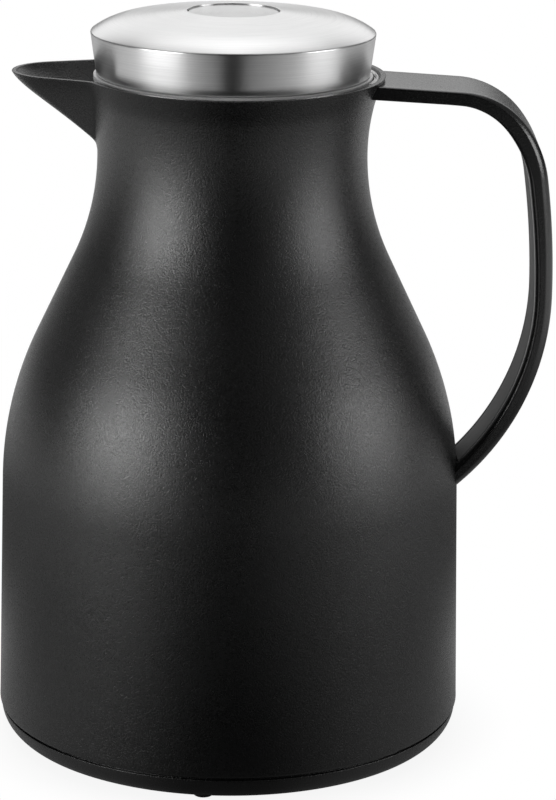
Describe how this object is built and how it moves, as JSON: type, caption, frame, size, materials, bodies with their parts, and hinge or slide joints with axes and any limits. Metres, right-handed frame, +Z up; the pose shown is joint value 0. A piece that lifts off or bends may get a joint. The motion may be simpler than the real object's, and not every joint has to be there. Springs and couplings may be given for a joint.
{
  "type": "vacuum jug",
  "caption": "Insulated vacuum jug with a moulded casing, pouring spout, strap handle, bayonet lid with a push-button pouring valve, and a double-walled flask inside.",
  "frame": {"origin": "on the table under the axis of the jug", "axes": "+Z up along the jug's axis, +X towards the handle, -X towards the spout, -Y towards the viewer of the picture"},
  "size_m": [0.165, 0.1404, 0.2189],
  "materials": {
    "casing_black": "moulded black plastic with a fine grain",
    "handle_black": "moulded black plastic with a fine grain",
    "collar_black": "plain dark plastic",
    "inlay_grey": "soft grey grip strip",
    "anchor_grey": "light grey plastic",
    "stopper_grey": "light grey plastic",
    "foot_rubber": "dull dark rubber",
    "pale_silicone": "translucent pale silicone",
    "silvered_glass": "glass silvered on the vacuum side",
    "felt": "pressed mineral felt",
    "lid_steel": "satin stainless steel, brushed around the axis",
    "button_steel": "satin stainless steel, brushed around the axis",
    "pin_steel": "bright plated steel"
  },
  "bodies": {
    "jug": {"outer_casing": "casing_black", "neck_collar": "collar_black", "base_cover": "casing_black", "rubber_foot_1": "foot_rubber", "rubber_foot_2": "foot_rubber", "rubber_foot_3": "foot_rubber", "rubber_foot_4": "foot_rubber", "flask_cushion": "foot_rubber", "outer_flask": "silvered_glass", "inner_flask": "silvered_glass", "flask_pads": "felt", "neck_gasket": "pale_silicone", "handle_strap": "handle_black", "handle_inlay": "inlay_grey", "handle_anchor": "anchor_grey", "anchor_pin": "pin_steel", "heel_screws": "pin_steel"},
    "gasket_ring": {"stopper_gasket": "pale_silicone"},
    "lid": {"lid_cap": "lid_steel", "lid_core": "stopper_grey", "stopper_body": "stopper_grey", "stopper_cup": "stopper_grey", "button_spring": "pin_steel"},
    "button": {"button_cap": "button_steel", "button_plunger": "stopper_grey", "valve_plate": "stopper_grey", "valve_seal": "pale_silicone", "stem_screw": "pin_steel"},
    "latch": {"latch_pin": "pin_steel"}
  },
  "joints": [
    {"name": "lid_lift", "type": "slide", "parent": "jug", "child": "gasket_ring", "axis": [0, 0, 1], "range_m": [0, 0.08]},
    {"name": "lid_turn", "type": "hinge", "parent": "gasket_ring", "child": "lid", "pos_m": [0, 0, 0.19], "axis": [0, 0, -1], "range_deg": [0, 60]},
    {"name": "button_press", "type": "slide", "parent": "lid", "child": "button", "axis": [0, 0, -1], "range_m": [0, 0.0045], "stiffness_N_per_m": 900, "springref_m": -0.003, "deforming": ["button_spring"]},
    {"name": "latch_swing", "type": "hinge", "parent": "lid", "child": "latch", "pos_m": [0, 0.0115, 0.2016], "axis": [0, 1, 0], "range_deg": [0, 26]}
  ],
  "couplings": [
    {"joint": "latch_swing", "follows": "button_press", "rad_per_m": 93}
  ]
}
